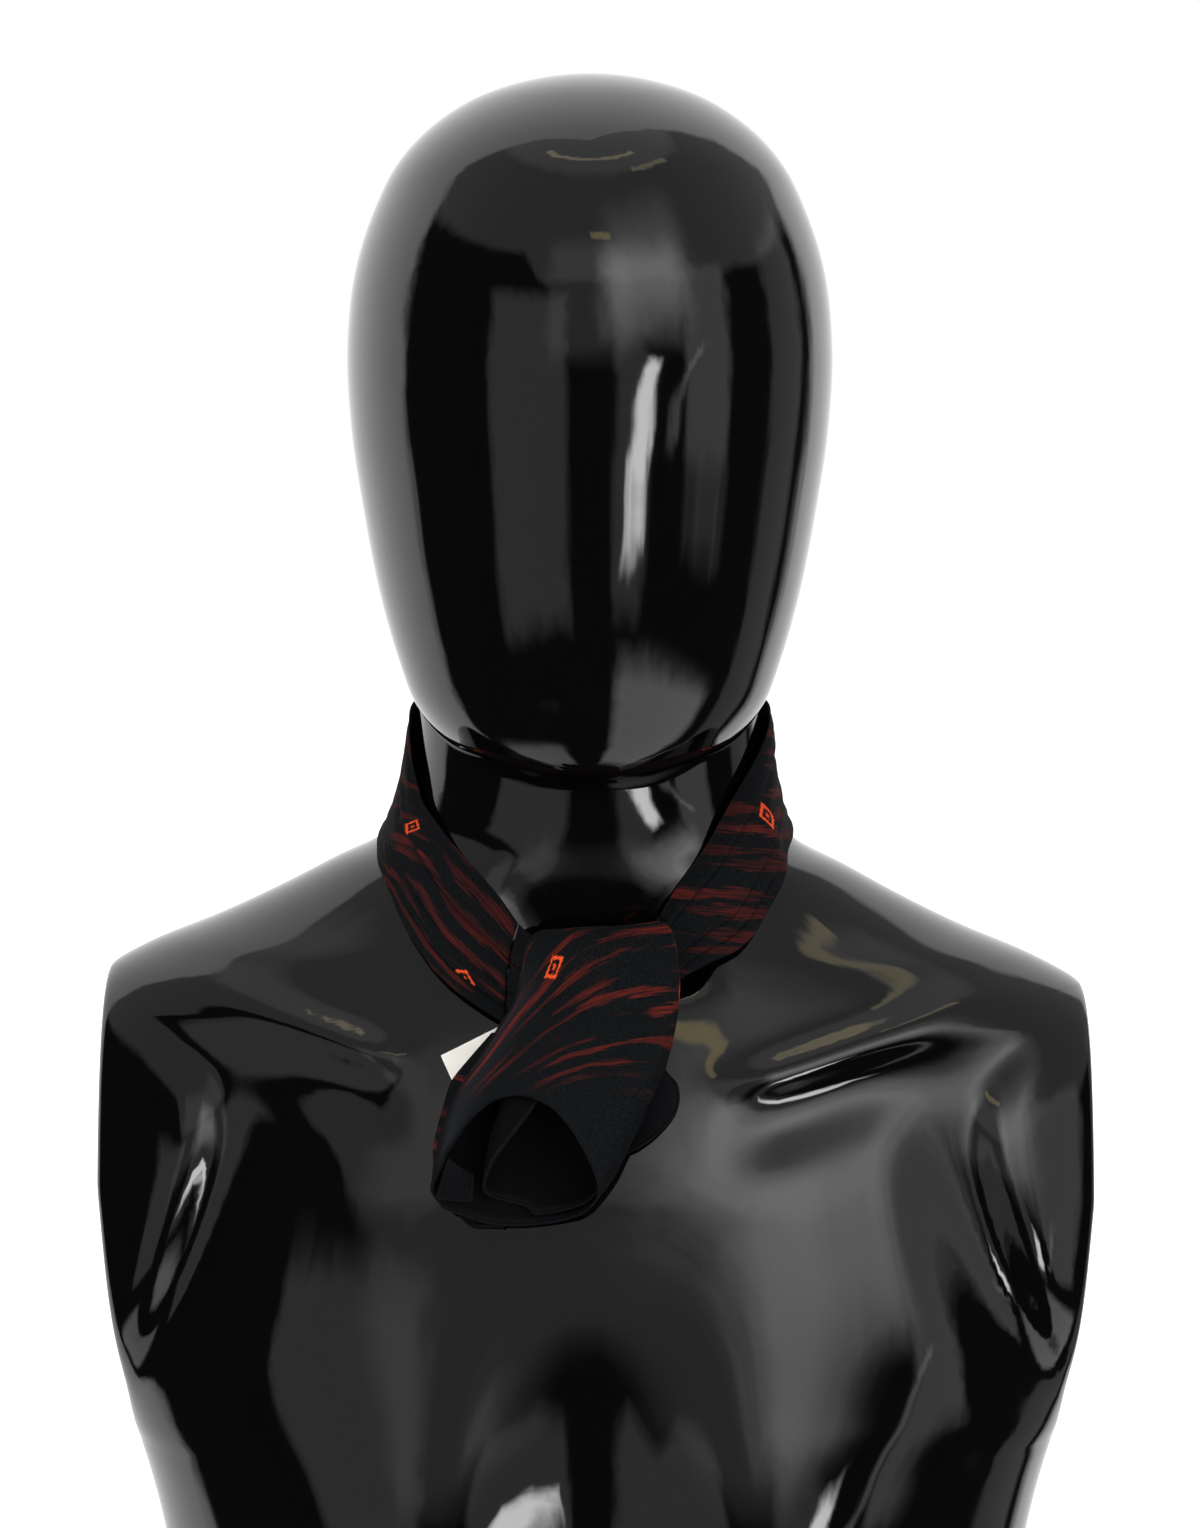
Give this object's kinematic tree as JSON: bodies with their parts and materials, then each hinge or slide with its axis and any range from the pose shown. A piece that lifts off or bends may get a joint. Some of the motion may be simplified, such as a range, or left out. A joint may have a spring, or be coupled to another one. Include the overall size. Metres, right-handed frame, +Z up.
{
  "type": "silk scarf on a display bust",
  "caption": "Printed silk neck scarf, folded lengthwise, wound round the neck of a smooth armless bust and tied in front, one end falling forward as an open roll.",
  "frame": {"origin": "middle of the bust's flat underside, on the floor", "axes": "+Z up; -Y the way the bust's face, the knot and the falling end look; +X towards the bust's own left, the right of the picture"},
  "size_m": [0.391, 0.2473, 0.6285],
  "materials": {
    "silk": "matt dark charcoal silk printed with dark red streaks and small orange-red open diamonds",
    "label": "white woven tape, blank",
    "form": "high-gloss black lacquer"
  },
  "bodies": {
    "root": {"display_form": "form", "neck_wrap": "silk", "knot_wrap": "silk", "front_tail": "silk", "back_tail": "silk", "care_label": "label"}
  },
  "joints": []
}
